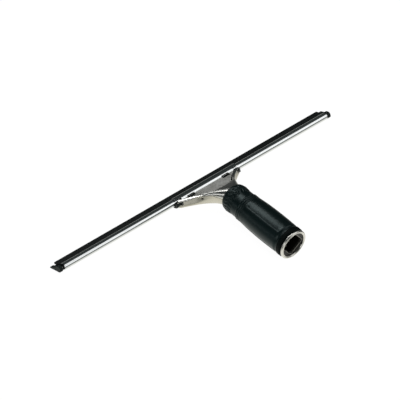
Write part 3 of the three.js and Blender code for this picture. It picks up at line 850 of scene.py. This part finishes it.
def make_lever():
    columns = 40
    rows = []
    for w, h in lever_line():
        half = BAR_HALF if w <= BAR_REAR else plan_half(max(w, PAN_FRONT), RIM_WIDTH + PLATE_GAP)
        rear = max(0, (w - (PLATE_REAR - PLATE_CORNER)) / PLATE_CORNER)
        half -= PLATE_CORNER * (1 - math.sqrt(max(1 - rear * rear, 0)))
        rows.append([on_head(half * (2 * i / columns - 1), w, h) for i in range(columns + 1)])
    sheet = skin(rows, closed_rings=False)
    piece = new_piece("lever_sheet", sheet, "lever", PLATE_STEEL, ["clamp_lever"])
    apply_modifiers(thicken(piece))
    cutters = []
    for side in (-1, 1):
        x0, x1 = sorted((side * WINDOW_INNER, side * WINDOW_OUTER))
        corners = ((x0, WINDOW_FRONT), (x1, WINDOW_FRONT), (x1, WINDOW_REAR), (x0, WINDOW_REAR))
        plan = round_corners(corners, WINDOW_CORNER)
        cutters.append(skin([[on_head(x, w, h) for x, w in plan] for h in (-2, 4)]))
    drill(piece, cutters)
    piece.data.materials.append(CHANNEL_STEEL)
    for face in piece.data.polygons:
        if blade_w(face.center) < POLISHED_BAR_REAR:
            face.material_index = 1
    weigh_normals(bevel(piece, 0.25, 3, 50))


def make_lugs():
    outline = arc(PIN_W, PIN_H, LUG_RADIUS, LUG_RADIUS, -math.pi, 0, 20) + list(LUG_TOP)
    half = LUG_THICKNESS / 2
    skins = [extruded(outline, (x - half, x + half), on_head) for x in LUG_PLACES]
    piece = new_piece("lever_lugs", joined(skins), "lever", SATIN_STEEL, ["clamp_lever"])
    weigh_normals(bevel(piece, 0.2, 2, 50))


def make_pin():
    profile = [(0.01, -PIN_HALF), (PIN_RADIUS * 0.7, -PIN_HALF), (PIN_RADIUS * 0.93, -PIN_HALF + 0.2)]
    profile += [(PIN_RADIUS, -PIN_HALF + 0.5)]
    profile += [(radius, -x) for radius, x in reversed(profile)]
    rings = []
    for radius, x in profile:
        around = arc(PIN_W, PIN_H, radius, radius, 0, 2 * math.pi * 31 / 32, 31)
        rings.append([on_head(x, w, h) for w, h in around])
    new_piece("pin_rod", skin(rings), "handle", SPRING_STEEL, ["hinge_pin"])


def make_spring(side, name, node):
    """A torsion spring round the pin, its upper leg laid along the lever and its lower leg in the head."""
    coil = PIN_RADIUS + CLEARANCE + SPRING_WIRE / 2
    start = side * (WINDOW_INNER + SPRING_INSET)
    knots = [(start, w, h) for w, h in UPPER_LEG]
    for i in range(SPRING_TURNS * COIL_STEPS + 6):
        angle = math.pi / 3 + 2 * math.pi * i / COIL_STEPS
        x = start + side * SPRING_PITCH * i / COIL_STEPS
        knots.append((x, PIN_W + coil * math.cos(angle), PIN_H + coil * math.sin(angle)))
    end = knots[-1][0]
    knots += [(end, PIN_W + behind, PIN_H - coil - below) for behind, below in LOWER_LEG]
    path = [on_head(*p) for p in smooth_line(knots, 4)]
    wire = tube_skin(path, SPRING_WIRE / 2 * MM)
    piece = new_piece(name, wire, None, SPRING_STEEL, [node])
    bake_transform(piece)


# ---- the handle ----
def tube_radius(along):
    share = min(max((along - TAPER_START) / (TAPER_END - TAPER_START), 0), 1)
    return COLLAR_RADIUS - TUBE_PLAY + (TUBE_END_RADIUS - COLLAR_RADIUS) * share


def turned(profile, sides=128):
    angles = [2 * math.pi * k / sides for k in range(sides)]
    return skin([[on_grip(s, r, a) for a in angles] for r, s in profile], caps=False)


def make_tube():
    lip_start = TUBE_LENGTH - LIP_LENGTH
    profile = [(tube_radius(s), s) for s in (*TUBE_STATIONS, lip_start)]
    profile += [(LIP_RADIUS - inside, lip_start + behind) for inside, behind in LIP_FLARE]
    profile += arc(LIP_RADIUS - LIP_ROLL, TUBE_LENGTH - LIP_ROLL, LIP_ROLL, LIP_ROLL, 0, math.pi * 0.75, 14)
    profile += [(radius, TUBE_LENGTH - inside) for radius, inside in LIP_INSIDE]
    profile += [(tube_radius(s) - TUBE_WALL, s) for s in reversed(TUBE_STATIONS)]
    new_piece(
        "tube_body", turned(profile + profile[:1]), "handle", RIM_STEEL, ["handle_tube"])


def bump_at(value, centre, width):
    """A smooth hump of height 1."""
    distance = abs(value - centre) / width
    return (1 + math.cos(math.pi * distance)) / 2 if distance < 1 else 0


def step_up(value, start, end):
    """Rise smoothly from 0 at start to 1 at end."""
    t = min(max((value - start) / (end - start), 0), 1)
    return t * t * (3 - 2 * t)


def grip_relief(along, angle):
    """Moulded detail sunk into the grip: round slanted dashes on the collar, and long stepped panels."""
    relief = 0
    for centre, lean in DASH_ROWS:
        across = along - centre
        if abs(across) < DASH_REACH:
            turn = (angle * DASH_COUNT / (2 * math.pi) + lean * across * DASH_LEAN) % 1
            dash = step_up(bump_at(turn, 0.5, 0.32), 0.15, 0.6) * step_up(2.2 - abs(across), 0, 0.6)
            relief -= DASH_DEPTH * step_up(DASH_REACH - abs(across), 0, 0.6) * (1 - dash)
    reach = step_up(along, PANEL_START, PANEL_FULL) * step_up(PANEL_END - along, 0, 2)
    turn = ((angle - PANEL_EDGE) * PANELS / (2 * math.pi)) % 1
    relief -= reach * PANEL_STEP * (1 - step_up(turn, 0, 0.03) * step_up(1 - turn, 0, 0.7))
    return relief


def make_grip():
    outer = smooth_line(COLLAR_KNOTS, 8)
    for centre in RIB_PLACES:
        for k in range(RIB_STEPS + 1):
            place = centre - RIB_WIDTH / 2 + RIB_WIDTH * k / RIB_STEPS
            outer.append((place, RIB_FOOT + RIB_HEIGHT * math.sin(math.pi * k / RIB_STEPS)))
    outer += smooth_line(BODY_KNOTS, 9) + list(END_GROOVE + END_BEAD)
    inner = [(s, tube_radius(s) + CLEARANCE) for s in (GRIP_END, 80, 50, 20, 0)]
    angles = [2 * math.pi * k / GRIP_SIDES for k in range(GRIP_SIDES)]
    rings = [[on_grip(s, r + grip_relief(s, a), a) for a in angles] for s, r in outer]
    rings += [[on_grip(s, r, a) for a in angles] for s, r in inner]
    sleeve = skin(rings + rings[:1], caps=False)
    piece = new_piece("grip_sleeve", sleeve, "handle", GRIP_RUBBER, ["rubber_grip"])
    # Faces past the bead's start take the end rubber with painted shade.
    piece.data.materials.append(GRIP_END_SHADED_RUBBER)
    for face in piece.data.polygons:
        along = (face.center - GRIP_START).dot(GRIP_AXIS) / MM
        face.material_index = int(along > BEAD_START)


def round_square(half, corner, angle):
    """Polar radius of a square with round corners."""
    fold = abs((angle + math.pi / 4) % (math.pi / 2) - math.pi / 4)
    straight = half / math.cos(fold)
    if straight * math.sin(fold) <= half - corner:
        return straight
    middle = (half - corner) * math.sqrt(2)
    off = math.pi / 4 - fold
    return middle * math.cos(off) + math.sqrt(max(corner ** 2 - (middle * math.sin(off)) ** 2, 0))


def make_socket():
    mouth = TUBE_LENGTH - SOCKET_RECESS
    bottom = TUBE_LENGTH - SOCKET_DEPTH - SOCKET_FLOOR
    floor = TUBE_LENGTH - SOCKET_DEPTH
    throat = mouth - LEAD_IN_DEPTH - 0.2
    angles = [2 * math.pi * k / SOCKET_SIDES for k in range(SOCKET_SIDES)]

    def circle(radius, along):
        return [on_grip(along, radius, a) for a in angles]

    def square(half, corner, along):
        return [on_grip(along, round_square(half, corner, a - SOCKET_TURN), a) for a in angles]

    def outer(along):
        return tube_radius(along) - TUBE_WALL - CLEARANCE

    rim = TUBE_LENGTH - SOCKET_RIM
    rings = [circle(0.02, bottom), circle(outer(bottom), bottom), circle(outer(rim), rim - 0.4)]
    rings += [circle(outer(rim) - 0.2, rim), square(LEAD_IN_HALF + 0.5, 2.5, mouth + 0.75)]
    rings += [square(LEAD_IN_HALF, 2.3, mouth + 0.45)]
    rings += [square(SOCKET_MOUTH_HALF, SOCKET_MOUTH_CORNER, mouth - LEAD_IN_DEPTH)]
    for k in range(9):
        share = k / 8
        half = SOCKET_MOUTH_HALF + (SOCKET_INNER_HALF - SOCKET_MOUTH_HALF) * share
        corner = SOCKET_MOUTH_CORNER + (SOCKET_INNER_CORNER - SOCKET_MOUTH_CORNER) * share
        rings.append(square(half, corner, throat + (floor - throat) * share))
    rings += [circle(0.02, floor)]
    piece = new_piece(
        "socket_insert", skin(rings), "handle", SOCKET_PLASTIC, ["pole_socket"])
    # The lead-in band takes the painted highlight colour.
    piece.data.materials.append(SOCKET_EDGE_HIGHLIGHT)
    for face in piece.data.polygons:
        if min(face.vertices) // SOCKET_SIDES == HIGHLIGHT_BAND_RING and len(face.vertices) == 4:
            face.material_index = 1
    weigh_normals(piece)


make_channel()
make_rubber()
make_clip(-1, CLEARANCE + CLIP_PULLED_OUT, "clip_left_body", "left_clip", "end_clip_left")
make_clip(1, CLEARANCE, "clip_right_body", "right_clip", "end_clip_right")
make_pan()
make_jaw_lip()
make_saddle()
make_shade_liner()
make_lever()
make_lugs()
make_pin()
make_spring(-1, "spring_left_wire", "spring_left")
make_spring(1, "spring_right_wire", "spring_right")
make_tube()
make_grip()
make_socket()


# ---- floor and light ----
FLOOR_SIZE = 12
FLOOR_GREY = (0.15, 0.15, 0.15)
FLOOR_GLOW = 0.97
FLOOR_GLOW_FAR = 0.4
GLOW_NEAR = 0.35
GLOW_FAR = 1.1
# From straight down (0) over the horizon (0.5) to straight up (1).
SKY_STOPS = (
    (0.20, (0.88, 0.87, 0.82)),
    (0.33, (0.34, 0.35, 0.33)),
    (0.42, (0.07, 0.07, 0.07)),
    (0.50, (0.03, 0.035, 0.035)),
    (0.60, (0.03, 0.035, 0.035)),
)
SKY_BELOW = (0.95, 0.94, 0.90)
SKY_ABOVE = (0.05, 0.055, 0.055)
# Name, place, size and radiance of each card; their reflections draw the steel and the grip.
SOFTBOXES = (
    ("strip_over", (0.8, -0.45, 1.2), (0.7, 2.2), 1),
    ("strip_front", (0.9, -1.6, 0.75), (1.0, 1.5), 1),
    ("grip_light", (0.03, 0.79, 1.30), (0.75, 0.5), 4.6),
    ("neck_card", (-0.4, 1, 1.08), (0.5, 0.45), 1.3),
    ("side_card", (-1.2, 0.85, 0.12), (0.5, 0.3), 0.9),
    ("neck_side_card", (-1.3, 0.15, 0.27), (0.45, 0.4), 1),
    ("back_card", (0.1, 1.5, 0.5), (0.9, 0.4), 1.2),
    ("front_left_card", (-0.75, -1.05, -0.02), (0.8, 0.4), 0.9),
    ("left_card", (-1.25, -0.6, 0.5), (0.8, 0.6), 1.6),
)


def make_floor():
    """A pale floor that glows like a light table near the object and less further off."""
    bpy.ops.mesh.primitive_plane_add(size=FLOOR_SIZE, location=(0, 0, 0))
    floor = bpy.context.object
    floor.name = "floor"
    material, nodes, links, shader = new_material("floor_paper")
    shader.inputs["Base Color"].default_value = (*FLOOR_GREY, 1)
    shader.inputs["Roughness"].default_value = 1
    shader.inputs["Specular IOR Level"].default_value = 0
    place = nodes.new("ShaderNodeTexCoord")
    length = nodes.new("ShaderNodeVectorMath")
    length.operation = "LENGTH"
    links.new(place.outputs["Object"], length.inputs[0])
    fade = nodes.new("ShaderNodeMapRange")
    fade.inputs["From Min"].default_value = GLOW_NEAR
    fade.inputs["From Max"].default_value = GLOW_FAR
    fade.inputs["To Min"].default_value = FLOOR_GLOW
    fade.inputs["To Max"].default_value = FLOOR_GLOW_FAR
    links.new(length.outputs["Value"], fade.inputs["Value"])
    shader.inputs["Emission Color"].default_value = (1, 1, 1, 1)
    links.new(fade.outputs["Result"], shader.inputs["Emission Strength"])
    floor.data.materials.append(material)
    floor.visible_glossy = False


def make_softbox(name, place, size, radiance):
    """A rectangular area light that faces the middle of the object."""
    data = bpy.data.lights.new(name, "AREA")
    data.shape = "RECTANGLE"
    data.size, data.size_y = size
    data.energy = radiance * math.pi * size[0] * size[1]
    light = bpy.data.objects.new(name, data)
    light.location = place
    light.rotation_euler = (-Vector(place)).to_track_quat("-Z", "Y").to_euler()
    bpy.context.scene.collection.objects.link(light)


def make_world():
    """Studio surroundings: dark at the horizon, a warm grey below and a little light above."""
    world = bpy.data.worlds.new("studio")
    bpy.context.scene.world = world
    world.use_nodes = True
    nodes, links = world.node_tree.nodes, world.node_tree.links
    place = nodes.new("ShaderNodeTexCoord")
    split = nodes.new("ShaderNodeSeparateXYZ")
    height = nodes.new("ShaderNodeMapRange")
    height.inputs["From Min"].default_value = -1
    height.inputs["From Max"].default_value = 1
    links.new(place.outputs["Generated"], split.inputs["Vector"])
    links.new(split.outputs["Z"], height.inputs["Value"])
    ramp = nodes.new("ShaderNodeValToRGB")
    first, last = ramp.color_ramp.elements
    first.position, first.color = 0, (*SKY_BELOW, 1)
    last.position, last.color = 1, (*SKY_ABOVE, 1)
    for position, colour in SKY_STOPS:
        ramp.color_ramp.elements.new(position).color = (*colour, 1)
    links.new(height.outputs["Result"], ramp.inputs["Fac"])
    links.new(ramp.outputs["Color"], nodes["Background"].inputs["Color"])
    nodes["Background"].inputs["Strength"].default_value = 1


make_floor()
make_world()
for softbox in SOFTBOXES:
    make_softbox(*softbox)
bpy.context.scene.view_settings.view_transform = "Standard"
